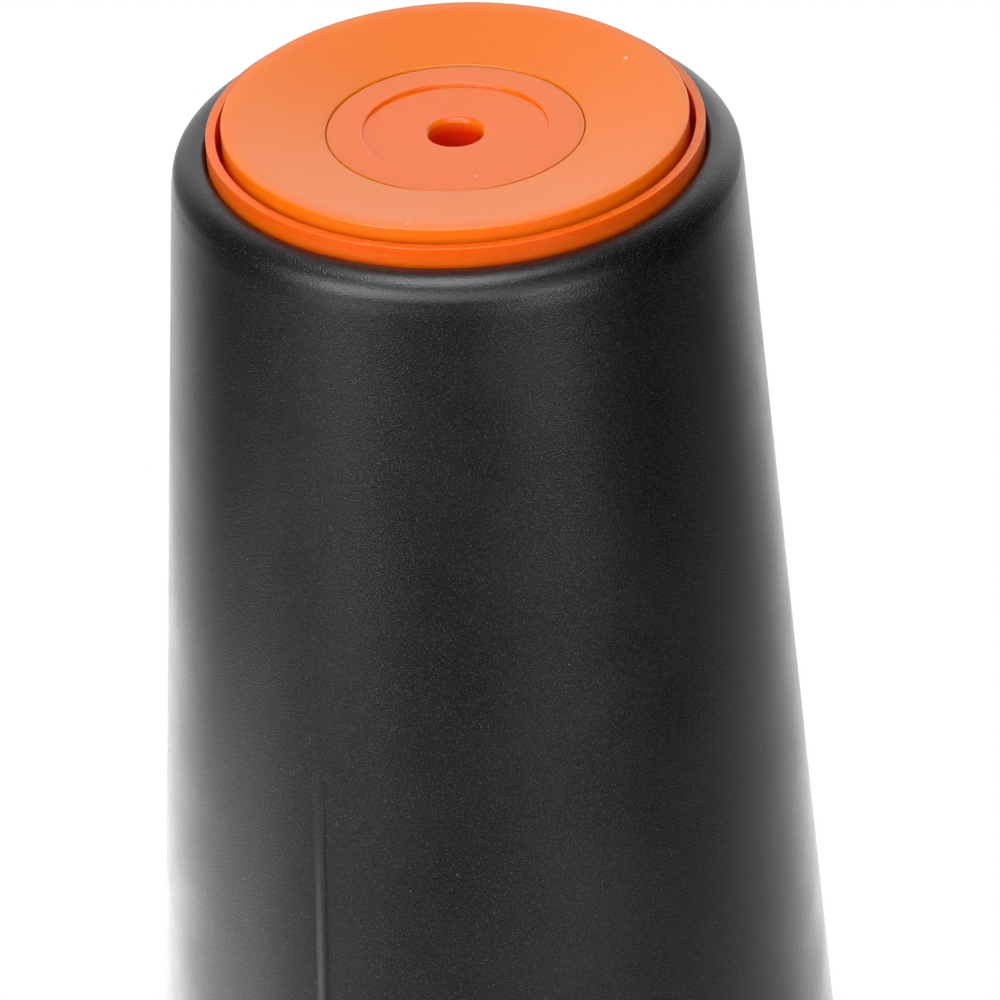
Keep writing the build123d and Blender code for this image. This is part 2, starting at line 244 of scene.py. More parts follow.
def turned(name, corners, closed=True, angles=None, relief=None, arc_steps=10, longest=None):
    """Mesh turned about Z. relief(radius, height, angle) stands proud along the normal.

    angles are the columns of an open sweep; without them the sweep is a full turn of
    FULL_TURN_COLUMNS. The mesh keeps its own normals: smooth round the axis and in the
    roundings, sharp where two straight edges meet.
    """
    spots, normals_in, normals_out = rounded_profile(corners, closed, arc_steps, longest)
    wrap = angles is None
    if wrap:
        angles = np.linspace(0, 2 * math.pi, FULL_TURN_COLUMNS, endpoint=False)
    rows, columns = len(spots), len(angles)
    edges = rows if closed else rows - 1
    row_normals = np.zeros((rows, 2))
    row_normals[:edges] += normals_in
    row_normals[(np.arange(edges) + 1) % rows] += normals_out
    row_normals /= np.linalg.norm(row_normals, axis=1)[:, None]
    radius = np.repeat(spots[:, 0][:, None], columns, 1)
    height = np.repeat(spots[:, 1][:, None], columns, 1)
    turn = np.repeat(angles[None, :], rows, 0)
    rise = np.zeros_like(radius)
    slope_around = np.zeros_like(radius)
    if relief is not None:
        nudge = 1e-4
        rise = relief(radius, height, turn)
        change = relief(radius, height, turn + nudge) - relief(radius, height, turn - nudge)
        slope_around = change / (2 * nudge) / radius
    out_radius = radius + rise * row_normals[:, 0][:, None]
    out_height = height + rise * row_normals[:, 1][:, None]
    vertices = np.stack([out_radius * np.cos(turn), out_radius * np.sin(turn), out_height], -1)
    row = np.arange(edges)
    column = np.arange(columns if wrap else columns - 1)
    row, column = np.meshgrid(row, column, indexing="ij")
    next_row, next_column = (row + 1) % rows, (column + 1) % columns
    corner_rows = np.stack([row, row, next_row, next_row], -1).reshape(-1, 4)
    corner_columns = np.stack([column, next_column, next_column, column], -1).reshape(-1, 4)
    faces = corner_rows * columns + corner_columns
    mesh = bpy.data.meshes.new(name)
    mesh.from_pydata(vertices.reshape(-1, 3).tolist(), [], faces.tolist())
    edge_of = np.repeat(row.reshape(-1)[:, None], 4, 1)
    leaving = np.array([True, True, False, False])[None, :, None]
    flat = np.where(leaving, normals_in[edge_of], normals_out[edge_of])
    around = angles[corner_columns]
    tilt = slope_around[corner_rows, corner_columns]
    normal = np.stack([
        flat[..., 0] * np.cos(around) + tilt * np.sin(around),
        flat[..., 0] * np.sin(around) - tilt * np.cos(around),
        flat[..., 1],
    ], -1)
    normal /= np.linalg.norm(normal, axis=-1)[..., None]
    mesh.polygons.foreach_set("use_smooth", np.ones(len(mesh.polygons), bool))
    mesh.validate()
    mesh.normals_split_custom_set(normal.reshape(-1, 3).tolist())
    item = bpy.data.objects.new(name, mesh)
    bpy.context.scene.collection.objects.link(item)
    return item


# ---- material helpers ----------------------------------------------------------------


class Nodes:
    """A material's node tree with short calls to add and link nodes."""

    def __init__(self, name):
        self.material = bpy.data.materials.new(name)
        self.material.use_nodes = True
        self.tree = self.material.node_tree
        self.tree.nodes.clear()
        self.output = self.tree.nodes.new("ShaderNodeOutputMaterial")
        self.place = self.tree.nodes.new("ShaderNodeTexCoord").outputs["Object"]

    def link(self, source, target):
        self.tree.links.new(source, target)

    def shader(self, **values):
        node = self.tree.nodes.new("ShaderNodeBsdfPrincipled")
        for key, value in values.items():
            node.inputs[key.replace("_", " ")].default_value = value
        self.link(node.outputs["BSDF"], self.output.inputs["Surface"])
        return node

    def noise(self, scale, detail, roughness, stretch=None, distortion=0.0):
        node = self.tree.nodes.new("ShaderNodeTexNoise")
        node.inputs["Scale"].default_value = scale
        node.inputs["Detail"].default_value = detail
        node.inputs["Roughness"].default_value = roughness
        node.inputs["Distortion"].default_value = distortion
        source = self.place
        if stretch is not None:
            mapping = self.tree.nodes.new("ShaderNodeMapping")
            mapping.inputs["Scale"].default_value = stretch
            self.link(source, mapping.inputs["Vector"])
            source = mapping.outputs["Vector"]
        self.link(source, node.inputs["Vector"])
        return node.outputs["Fac"]

    def specks(self, scale, size):
        """1 inside small scattered specks, 0 elsewhere; few of the cells get one."""
        node = self.tree.nodes.new("ShaderNodeTexVoronoi")
        node.inputs["Scale"].default_value = scale
        self.link(self.place, node.inputs["Vector"])
        near = self.ramp(node.outputs["Distance"], size * 0.4, 1.0, size, 0.0)
        pick = self.tree.nodes.new("ShaderNodeSeparateColor")
        self.link(node.outputs["Color"], pick.inputs["Color"])
        chosen = self.ramp(pick.outputs["Red"], 0.93, 0.0, 0.96, 1.0)
        return self.math("MULTIPLY", near, chosen)

    def ramp(self, source, low, low_value, high, high_value):
        """Smooth change from low_value, where source is low, to high_value, where it is high."""
        node = self.tree.nodes.new("ShaderNodeMapRange")
        node.interpolation_type = "SMOOTHSTEP"
        node.inputs["From Min"].default_value = low
        node.inputs["From Max"].default_value = high
        node.inputs["To Min"].default_value = low_value
        node.inputs["To Max"].default_value = high_value
        self.link(source, node.inputs["Value"])
        return node.outputs["Result"]

    def math(self, operation, first, second):
        node = self.tree.nodes.new("ShaderNodeMath")
        node.operation = operation
        for socket, value in zip(node.inputs, (first, second)):
            if isinstance(value, (int, float)):
                socket.default_value = value
            else:
                self.link(value, socket)
        return node.outputs["Value"]

    def mix(self, factor, first, second):
        node = self.tree.nodes.new("ShaderNodeMix")
        node.data_type = "RGBA"
        self.link(factor, node.inputs["Factor"])
        for socket, value in ((node.inputs[6], first), (node.inputs[7], second)):
            if isinstance(value, tuple):
                socket.default_value = value
            else:
                self.link(value, socket)
        return node.outputs[2]

    def bump(self, source, distance, below=None):
        """Bump of distance metres; below is the normal of a coarser bump under it."""
        node = self.tree.nodes.new("ShaderNodeBump")
        node.inputs["Distance"].default_value = distance
        node.inputs["Strength"].default_value = 1.0
        self.link(source, node.inputs["Height"])
        if below is not None:
            self.link(below, node.inputs["Normal"])
        return node.outputs["Normal"]


def colour(red, green, blue):
    return (red, green, blue, 1.0)


# ---- materials -----------------------------------------------------------------------


def bulb_rubber():
    """Satin black moulded rubber: fine grain with painted glints on it, mottling, dust specks."""
    nodes = Nodes("bulb_rubber")
    shader = nodes.shader(IOR=1.6)
    mottle = nodes.noise(140, 3, 0.55)
    grain = nodes.noise(7000, 2, 0.6)
    # Painted glints: pale spots in the base colour stand in for light caught on the grain.
    painted_glints = nodes.ramp(nodes.noise(8500, 1, 0.5), 0.56, 0.0, 0.78, 1.0)
    dust = nodes.specks(900, 0.09)
    base = nodes.mix(mottle, colour(0.0022, 0.0022, 0.0025), colour(0.0035, 0.0035, 0.0038))
    base = nodes.mix(painted_glints, base, colour(0.05, 0.05, 0.052))
    base = nodes.mix(dust, base, colour(0.12, 0.12, 0.12))
    nodes.link(base, shader.inputs["Base Color"])
    rough = nodes.ramp(mottle, 0.3, 0.3, 0.7, 0.35)
    nodes.link(rough, shader.inputs["Roughness"])
    nodes.link(nodes.bump(grain, 0.03 * MM), shader.inputs["Normal"])
    return nodes.material


def painted_red_glow_mask(nodes):
    """Mask of the painted red glow: 1 on the wall of the air hole and inside the groove round the
    foot ring, else 0.
    """
    split = nodes.tree.nodes.new("ShaderNodeSeparateXYZ")
    nodes.link(nodes.place, split.inputs["Vector"])
    across = nodes.math("MULTIPLY", split.outputs["X"], split.outputs["X"])
    along = nodes.math("MULTIPLY", split.outputs["Y"], split.outputs["Y"])
    radius = nodes.math("SQRT", nodes.math("ADD", across, along), 0.0)
    height = split.outputs["Z"]
    in_hole = nodes.ramp(
        radius, AIR_HOLE_RADIUS + 0.05 * MM, 1.0, AIR_HOLE_RADIUS + 0.35 * MM, 0.0
    )
    deep = nodes.ramp(height, PLUG_FACE + 0.7 * MM, 0.0, PLUG_FACE + 1.5 * MM, 1.0)
    hole = nodes.math("MULTIPLY", in_hole, deep)
    past_rim = nodes.ramp(height, CUP_RIM + 0.3 * MM, 0.0, CUP_RIM + 1.2 * MM, 1.0)
    inside_cup = nodes.ramp(radius, CUP_RADIUS - 0.6 * MM, 1.0, CUP_RADIUS - 0.3 * MM, 0.0)
    outside_foot = nodes.ramp(radius, FOOT_RADIUS - 0.6 * MM, 0.0, FOOT_RADIUS - 0.3 * MM, 1.0)
    groove = nodes.math("MULTIPLY", nodes.math("MULTIPLY", past_rim, inside_cup), outside_foot)
    return nodes.math("MAXIMUM", hole, groove)


def orange_plastic(name, low, high, roughness, dust_amount):
    """Translucent plastic: soft scattering, faint flow marks, dust; a painted red glow in the air
    hole and the groove round the foot ring.
    """
    nodes = Nodes(name)
    shader = nodes.shader(IOR=1.5, Subsurface_Weight=1.0, Subsurface_Scale=1.2 * MM)
    shader.inputs["Subsurface Radius"].default_value = (1.0, 0.4, 0.1)
    flow = nodes.noise(90, 3, 0.5, stretch=(1.0, 1.0, 3.0), distortion=0.4)
    fine = nodes.noise(2600, 2, 0.5)
    dust = nodes.specks(420, 0.09)
    base = nodes.mix(flow, low, high)
    base = nodes.mix(nodes.math("MULTIPLY", dust, dust_amount), base, colour(0.95, 0.75, 0.6))
    # Painted red glow: deep red stands in for light scattered through the plastic into the shaded
    # hole and groove.
    base = nodes.mix(painted_red_glow_mask(nodes), base, colour(0.99, 0.03, 0.004))
    nodes.link(base, shader.inputs["Base Color"])
    rough = nodes.ramp(flow, 0.3, roughness - 0.03, 0.7, roughness + 0.03)
    nodes.link(rough, shader.inputs["Roughness"])
    wavy = nodes.bump(flow, 0.02 * MM)
    nodes.link(nodes.bump(fine, 0.0015 * MM, below=wavy), shader.inputs["Normal"])
    return nodes.material


def plain_grained(name, low, high, roughness, grain_scale, grain_depth, **values):
    """Simple solid with colour variation and grain, for the small inner pieces."""
    nodes = Nodes(name)
    shader = nodes.shader(Roughness=roughness, **values)
    grain = nodes.noise(grain_scale, 3, 0.6)
    nodes.link(nodes.mix(grain, low, high), shader.inputs["Base Color"])
    nodes.link(nodes.bump(grain, grain_depth), shader.inputs["Normal"])
    return nodes.material


def tip_metal():
    """Nickel-plated tube with fine lines drawn round its axis."""
    nodes = Nodes("tip_metal")
    shader = nodes.shader(Metallic=1.0)
    lines = nodes.noise(900, 3, 0.6, stretch=(1.0, 1.0, 14.0))
    base = nodes.mix(lines, colour(0.62, 0.59, 0.54), colour(0.74, 0.71, 0.66))
    nodes.link(base, shader.inputs["Base Color"])
    nodes.link(nodes.ramp(lines, 0.3, 0.2, 0.7, 0.32), shader.inputs["Roughness"])
    nodes.link(nodes.bump(lines, 0.004 * MM), shader.inputs["Normal"])
    return nodes.material


RUBBER = bulb_rubber()
CUP_PLASTIC = orange_plastic(
    "cup_plastic", colour(0.9, 0.13, 0.001), colour(0.92, 0.145, 0.001), 0.3, 0.4
)
PLUG_PLASTIC = orange_plastic(
    "plug_plastic", colour(0.84, 0.155, 0.001), colour(0.86, 0.17, 0.002), 0.2, 0.4
)
FOOT_PLASTIC = orange_plastic(
    "foot_plastic", colour(0.84, 0.185, 0.001), colour(0.86, 0.2, 0.002), 0.32, 0.8
)
SEAL_RUBBER = plain_grained(
    "seal_rubber", colour(0.01, 0.01, 0.011), colour(0.02, 0.02, 0.02), 0.42, 3000, 0.004 * MM
)
FOAM = plain_grained(
    "filter_foam", colour(0.08, 0.08, 0.085), colour(0.3, 0.3, 0.31), 0.95, 2200, 0.35 * MM
)
SILICONE = plain_grained(
    "flap_silicone", colour(0.66, 0.63, 0.58), colour(0.74, 0.71, 0.66), 0.38, 600, 0.01 * MM,
    Subsurface_Weight=0.5, Subsurface_Scale=1.0 * MM,
)
WHITE_PLASTIC = plain_grained(
    "white_plastic", colour(0.68, 0.67, 0.63), colour(0.76, 0.75, 0.72), 0.36, 900, 0.006 * MM,
    Subsurface_Weight=0.2, Subsurface_Scale=0.8 * MM,
)
TIP_METAL = tip_metal()

CAD_MATERIALS = {
    "cup_gasket": SEAL_RUBBER,
    "cup_seal": SEAL_RUBBER,
    "plug_seal": SEAL_RUBBER,
    "nozzle_seal": SEAL_RUBBER,
    "filter_disc": FOAM,
    "filter_grid": WHITE_PLASTIC,
    "inlet_flap": SILICONE,
    "outlet_flap": SILICONE,
    "inlet_cage": WHITE_PLASTIC,
    "outlet_cage": WHITE_PLASTIC,
    "outlet_seat": WHITE_PLASTIC,
}


def dress(item, material, slot, body=None, *nodes):
    """Gives a piece its material and its body, and hides the CAD nodes that it stands for. The slot
    argument is not used.
    """
    item.data.materials.clear()
    item.data.materials.append(material)
    if body is not None:
        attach(item, body)
    if nodes:
        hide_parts(*nodes)


for cad_node, cad_material in CAD_MATERIALS.items():
    cad_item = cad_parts[cad_node]
    cad_item.data.materials.clear()
    cad_item.data.materials.append(cad_material)


# ---- bulb skin -----------------------------------------------------------------------


def cone_radius(height):
    return CONE_RADIUS_AT_FOOT + CONE_GAIN * height


def shoulder_lines():
    """Corners of the outer shoulder and of the same outline one wall inside it."""
    corner = np.array([cone_radius(SHOULDER_CORNER), SHOULDER_CORNER])
    neck = np.array([NECK_RADIUS, SHOULDER_END])
    fall = np.array([corner[0] - neck[0], neck[1] - corner[1]])
    length = np.linalg.norm(fall)
    offset = neck - WALL * fall[::-1] / length
    incline = fall[1] / fall[0]
    inner_at_foot = CONE_RADIUS_AT_FOOT - WALL
    height = (offset[1] + incline * (offset[0] - inner_at_foot)) / (1 + incline * CONE_GAIN)
    inner_corner = (inner_at_foot + CONE_GAIN * height, height)
    neck_inner = (NECK_BORE_RADIUS, offset[1] + incline * (offset[0] - NECK_BORE_RADIUS))
    return tuple(corner), tuple(neck), inner_corner, neck_inner


def ridge(radius, height, angle):
    """Rise of the mould parting ridge: soft on the joint's +X side, a short step on its -X."""
    off_joint = radius * np.cos(angle)
    rise = smoothstep((off_joint + RIDGE_DROP) / RIDGE_DROP)
    fall = 1.0 - smoothstep((off_joint - RIDGE_DROP) / RIDGE_WIDTH)
    along = smoothstep((height - RIDGE_FADE_START) / (RIDGE_FADE_END - RIDGE_FADE_START))
    stop = 1.0 - smoothstep((height - SHOULDER_END) / (NECK_TOP - SHOULDER_END))
    outside = (radius > cone_radius(0) - WALL / 2) | (height > SHOULDER_CORNER)
    return RIDGE_HEIGHT * rise * fall * along * stop * outside


def half_turn_angles(side):
    """Columns of one half of the bulb, close together beside the parting ridges."""
    fine = np.radians(np.linspace(0, RIDGE_SPREAD_DEGREES, 25))
    coarse = np.radians(np.linspace(RIDGE_SPREAD_DEGREES, 180 - RIDGE_SPREAD_DEGREES, 150))
    angles = np.concatenate([fine, coarse[1:-1], math.pi - fine[::-1]])
    start = -math.pi / 2 if side > 0 else math.pi / 2
    return angles + start


def bulb_skin():
    """The bulb's outside in two halves, one on each squeeze wall's side."""
    corner, neck, _, neck_inner = shoulder_lines()
    outline = [
        (cone_radius(INNER_CONE_START) - WALL, INNER_CONE_START, 0),
        (LEDGE_RADIUS, LEDGE_TOP, 1.0 * MM),
        (LEDGE_RADIUS, LEDGE_BOTTOM, 0),
        (MOUTH_RADIUS, LEDGE_BOTTOM, 0),
        (MOUTH_RADIUS, LIP_HUG_EASED, 1.0 * MM),
        (MOUTH_RADIUS - LIP_HUG, LIP_HUG_END, 1.0 * MM),
        (MOUTH_RADIUS - LIP_HUG, LIP_CREST, LIP_INNER_ROUND),
        (LIP_TOP_RADIUS, LIP_CREST, LIP_ROUND),
        (cone_radius(LIP_SLOPE_END), LIP_SLOPE_END, LIP_BLEND),
        (*corner, SHOULDER_ROUND),
        (*neck, NECK_ROUND),
        (NECK_RADIUS, NECK_TOP, 0.8 * MM),
        (NECK_BORE_RADIUS, NECK_TOP, 0.3 * MM),
        (NECK_BORE_RADIUS, neck_inner[1], 0),
    ]
    for side, word in ((1, "right"), (-1, "left")):
        skin = turned(
            f"bulb_skin_{word}", outline, closed=False, angles=half_turn_angles(side),
            relief=ridge, arc_steps=24, longest=1.2 * MM,
        )
        dress(skin, RUBBER, "rubber_black")
        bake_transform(skin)
        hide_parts(f"squeeze_wall_{word}", "bulb")


def bulb_lining():
    """The wall's inside in two halves, one wall inside the skin."""
    inner_corner, neck_inner = shoulder_lines()[2:]
    outline = [
        (*neck_inner, 0),
        (*inner_corner, SHOULDER_ROUND - WALL),
        (cone_radius(INNER_CONE_START) - WALL, INNER_CONE_START, 0),
    ]
    for side, word in ((1, "right"), (-1, "left")):
        start = -math.pi / 2 if side > 0 else math.pi / 2
        lining = turned(
            f"bulb_lining_{word}", outline, closed=False,
            angles=np.linspace(start, start + math.pi, 145), arc_steps=16, longest=1.5 * MM,
        )
        dress(lining, RUBBER, "rubber_black")
        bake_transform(lining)
        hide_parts(f"squeeze_wall_{word}", "bulb")


bulb_skin()
bulb_lining()


# ---- orange valve pieces -------------------------------------------------------------


def foot_ring():
    """Ring that the blower stands on: a dished face inside a narrow flat."""
    bore = PLUG_RADIUS + 0.02 * MM
    item = turned("foot_ring_moulding", [
        (bore, FOOT_DISH_DEPTH, 0.2 * MM),
        (FOOT_FLAT_RADIUS, 0, FOOT_DISH_ROUND),
        (FOOT_RADIUS, 0, 0.15 * MM),
        (FOOT_RADIUS, POCKET_FLOOR, 0.3 * MM),
        (bore, POCKET_FLOOR, 0),
    ])
    dress(item, FOOT_PLASTIC, "foot_orange", "valve_cartridge", "foot_ring")


def valve_cup():
    """Cup with a thin rim round the foot ring, a seal groove, and the boss with its valve plate."""
    rim_edge = 0.06 * MM
    pocket = CUP_RADIUS - CUP_RIM_WALL
    groove = CUP_RADIUS - CUP_GROOVE_DEPTH
    skirt = CUP_RADIUS - CUP_SKIRT_WALL
    throat = PLUG_RADIUS + 0.06 * MM
    item = turned("valve_cup_moulding", [
        (pocket, CUP_RIM, rim_edge),
        (CUP_RADIUS, CUP_RIM, rim_edge),
        (CUP_RADIUS, CUP_GROOVE_LOW, EDGE),
        (groove, CUP_GROOVE_LOW, EDGE),
        (groove, CUP_GROOVE_HIGH, EDGE),
        (CUP_RADIUS, CUP_GROOVE_HIGH, EDGE),
        (CUP_RADIUS, CUP_TOP, 0.3 * MM),
        (skirt, CUP_TOP, EDGE),
        (skirt, CUP_WEB_TOP, 0.5 * MM),
        (BOSS_RADIUS, CUP_WEB_TOP, 0.5 * MM),
        (BOSS_RADIUS, VALVE_PLATE_TOP, 0.3 * MM),
        (INLET_PORT_RADIUS, VALVE_PLATE_TOP, EDGE),
        (INLET_PORT_RADIUS, VALVE_PLATE_BOTTOM, EDGE),
        (throat, VALVE_PLATE_BOTTOM, 0),
        (throat, POCKET_FLOOR, EDGE),
        (pocket, POCKET_FLOOR, 0.2 * MM),
    ])
    dress(item, CUP_PLASTIC, "plastic_orange", "valve_cartridge", "valve_cup")


def inlet_plug():
    """Plug with a shallow step in its face, the air hole, and the filter chamber behind it."""
    step = PLUG_FACE + PLUG_STEP_DEPTH
    groove = PLUG_RADIUS - PLUG_GROOVE_DEPTH
    item = turned("inlet_plug_moulding", [
        (AIR_HOLE_RADIUS, step + PLUG_DISH_DEPTH, 0.4 * MM),
        (PLUG_STEP_RADIUS, step, 0.07 * MM),
        (PLUG_STEP_RADIUS, PLUG_FACE, 0.16 * MM),
        (PLUG_RADIUS, PLUG_FACE, 0.2 * MM),
        (PLUG_RADIUS, PLUG_GROOVE_LOW, 0),
        (groove, PLUG_GROOVE_LOW, 0),
        (groove, PLUG_GROOVE_HIGH, 0),
        (PLUG_RADIUS, PLUG_GROOVE_HIGH, 0),
        (PLUG_RADIUS, PLUG_TOP, 0),
        (CHAMBER_RADIUS, PLUG_TOP, 0),
        (CHAMBER_RADIUS, CHAMBER_FLOOR, 0),
        (AIR_TUBE_RADIUS, CHAMBER_FLOOR, 0),
        (AIR_TUBE_RADIUS, AIR_TUBE_TOP, 0),
        (AIR_HOLE_RADIUS, AIR_TUBE_TOP, 0),
    ])
    dress(item, PLUG_PLASTIC, "plastic_orange", "plug", "inlet_plug")


foot_ring()
valve_cup()
inlet_plug()


# ---- neck and nozzle -----------------------------------------------------------------


def neck_bush():
    """Bush in the neck, with a barb that holds it and a flange on top."""
    barb_start, barb_end, barb_base = (BUSH_BOTTOM + height for height in BARB_HEIGHTS)
    lip_top = BUSH_BOTTOM + BUSH_LIP_THICKNESS
    body = NECK_BORE_RADIUS - 0.05 * MM
    item = turned("neck_bush_moulding", [
        (BUSH_LIP_RADIUS, BUSH_BOTTOM, 0),
        (NECK_BORE_RADIUS, BUSH_BOTTOM, 0),
        (BARB_RADIUS, barb_start, 0),
        (BARB_RADIUS, barb_end, 0),
        (body, barb_base, 0),
        (body, NECK_TOP, 0),
        (BUSH_FLANGE_RADIUS, NECK_TOP, 0.4 * MM),
        (BUSH_FLANGE_RADIUS, BUSH_TOP, 0.6 * MM),
        (BUSH_BORE_RADIUS, BUSH_TOP, 0.3 * MM),
        (BUSH_BORE_RADIUS, lip_top, 0),
        (BUSH_LIP_RADIUS, lip_top, 0),
    ])
    dress(item, PLUG_PLASTIC, "plastic_orange", "bulb_body", "neck_bush")


def collar_ribs(radius, height, angle):
    """Rounded grip ribs round the nozzle's collar, eased out at its lower and upper edge."""
    wave = smoothstep(np.cos(angle * COLLAR_RIBS) * 1.6 - 0.6)
    edge = smoothstep((height - BUSH_TOP - 0.3 * MM) / (0.5 * MM))
    edge = edge * smoothstep((COLLAR_TOP - 0.5 * MM - height) / (0.5 * MM))
    return COLLAR_RIB_RISE * wave * edge * (radius > COLLAR_RADIUS - 0.02 * MM)


def nozzle():
    """Nozzle: spigot with its seal groove, ribbed collar, and the tapered spout."""
    rib_rows = np.arange(BUSH_TOP + 0.5 * MM, COLLAR_TOP - 0.9 * MM, 0.125 * MM)
    item = turned("nozzle_moulding", [
        (NOZZLE_BORE_RADIUS, SPIGOT_BOTTOM, 0),
        (SPIGOT_RADIUS, SPIGOT_BOTTOM, 0.4 * MM),
        (SPIGOT_RADIUS, SPIGOT_GROOVE_LOW, 0),
        (SPIGOT_GROOVE_RADIUS, SPIGOT_GROOVE_LOW, 0),
        (SPIGOT_GROOVE_RADIUS, SPIGOT_GROOVE_HIGH, 0),
        (SPIGOT_RADIUS, SPIGOT_GROOVE_HIGH, 0),
        (SPIGOT_RADIUS, BUSH_TOP, 0),
        (COLLAR_RADIUS, BUSH_TOP, 0.4 * MM),
        *((COLLAR_RADIUS, height, 0) for height in rib_rows),
        (COLLAR_RADIUS, COLLAR_TOP, 0.8 * MM),
        (NOZZLE_BASE_RADIUS, COLLAR_TOP, 0.6 * MM),
        (NOZZLE_BASE_RADIUS - 0.4 * MM, COLLAR_TOP + 3.0 * MM, 4.0 * MM),
        (NOZZLE_END_RADIUS, NOZZLE_END, 0.5 * MM),
        (TIP_ROOT_RADIUS, NOZZLE_END, 0),
        (TIP_ROOT_RADIUS, TIP_BOTTOM, 0),
        (NOZZLE_BORE_END_RADIUS, TIP_BOTTOM, 0),
        (NOZZLE_BORE_RADIUS, COLLAR_TOP, 0),
    ], relief=collar_ribs)
    dress(item, PLUG_PLASTIC, "plastic_orange", "nozzle_body", "nozzle")


def nozzle_tip():
    """Fine metal tube, wider where it sits in the nozzle's socket."""
    item = turned("nozzle_tip_tube", [
        (TIP_BORE_RADIUS, TIP_BOTTOM, 0),
        (TIP_ROOT_RADIUS, TIP_BOTTOM, 0),
        (TIP_ROOT_RADIUS, NOZZLE_END, 0),
        (TIP_RADIUS, NOZZLE_END, 0),
        (TIP_RADIUS, TIP_END, 0.25 * MM),
        (TIP_BORE_RADIUS, TIP_END, EDGE),
    ])
    dress(item, TIP_METAL, "tip_metal", "nozzle_body", "nozzle_tip")


neck_bush()
nozzle()
nozzle_tip()


# ---- camera --------------------------------------------------------------------------

CAMERA_AZIMUTH = math.radians(-30.6)
CAMERA_ELEVATION = math.radians(-28.86)
CAMERA_DISTANCE = 0.5
CAMERA_LENS = 247.5

# Where the foot's middle is in the picture, as angles from its centre.
FOOT_LEFT_OF_CENTRE = math.radians(0.378)
FOOT_ABOVE_CENTRE = math.radians(3.229)
CAMERA_ROLL = math.radians(-2.84)


def make_camera():
    """Camera below the foot, rolled over so that the foot is at the top of the picture.

    The axes of the sight line to the foot are worked out twice, in the world and as the
    camera sees them, and the camera's turn takes one set to the other.
    """
    level = math.cos(CAMERA_ELEVATION)
    away = Vector((
        math.sin(CAMERA_AZIMUTH) * level,
        -math.cos(CAMERA_AZIMUTH) * level,
        math.sin(CAMERA_ELEVATION),
    ))
    sight = -away
    up = Vector((0, 0, -1))
    up = (up - up.dot(sight) * sight).normalized()
    right = sight.cross(up)
    ray = Vector((-math.tan(FOOT_LEFT_OF_CENTRE), math.tan(FOOT_ABOVE_CENTRE), -1)).normalized()
    seen_up = Vector((0, 1, 0))
    seen_up = (seen_up - seen_up.dot(ray) * ray).normalized()
    seen_right = ray.cross(seen_up)
    rolled_up = math.cos(CAMERA_ROLL) * seen_up + math.sin(CAMERA_ROLL) * seen_right
    rolled_right = ray.cross(rolled_up)
    seen = Matrix((ray, rolled_up, rolled_right)).transposed()
    world = Matrix((sight, up, right)).transposed()
    turn = world @ seen.transposed()
    data = bpy.data.cameras.new("camera")
    data.lens = CAMERA_LENS
    data.clip_start = 0.01
    data.clip_end = 20.0
    camera = bpy.data.objects.new("camera", data)
    bpy.context.scene.collection.objects.link(camera)
    camera.matrix_world = Matrix.Translation(away * CAMERA_DISTANCE) @ turn.to_4x4()
    bpy.context.scene.camera = camera


make_camera()


# ---- light and floor -----------------------------------------------------------------


def towards(azimuth, elevation):
    """Direction given as degrees to the picture's right of the camera, and degrees up in it."""
    a, e = math.radians(azimuth), math.radians(elevation)
    to_camera = Vector((math.sin(CAMERA_AZIMUTH), -math.cos(CAMERA_AZIMUTH), 0))
    to_right = Vector((-math.cos(CAMERA_AZIMUTH), -math.sin(CAMERA_AZIMUTH), 0))
    level = to_camera * math.cos(a) + to_right * math.sin(a)
    return level * math.cos(e) + Vector((0, 0, -1)) * math.sin(e)


# White background seen in reflections: direction, full within, none beyond (degrees), strength.
SWEEPS = [
    (towards(180, 20), 24, 44, 0.75),
    (towards(180, -10), 47, 64, 0.65),
    (towards(150, 10), 15, 30, 0.7),
    (towards(180, -45), 20, 40, 1.6),
]

# Softboxes: name, azimuth, elevation, distance, width, height (metres), radiance.
SOFTBOXES = [
    ("key_left", -45, 19.5, 0.7, 0.32, 0.50, 5.4),
    ("key_left_low", -45, -13.5, 0.7, 0.32, 0.11, 3.5),
    ("key_right", 31, 19.5, 0.7, 0.28, 0.50, 1.2),
    ("key_right_low", 31, -4.5, 0.7, 0.28, 0.11, 8.0),
    ("fill_front", -9, 19.5, 0.75, 0.58, 0.53, 2.2),
    ("overhead", -30, 80, 0.7, 0.42, 0.38, 6.7),
]

# Card beside the nozzle end, which the lower part of the body in the picture reflects.
CARDS = [
    ("card_left", -115, 0, 0.17, 0.24, 0.14, 1.45),
]

# White card across the axis, past the end of the nozzle at every pose.
TABLES = [
    ("table", 0, -90, 0.0, 0.41, 0.41, 0.82),
]

# What the softboxes, the side card and the card across the axis are placed from.
BOX_TARGET = Vector((0, 0, 5 * MM))
CARD_TARGET = Vector((0, 0, 208 * MM))
TABLE_TARGET = Vector((0, 0, 190 * MM))


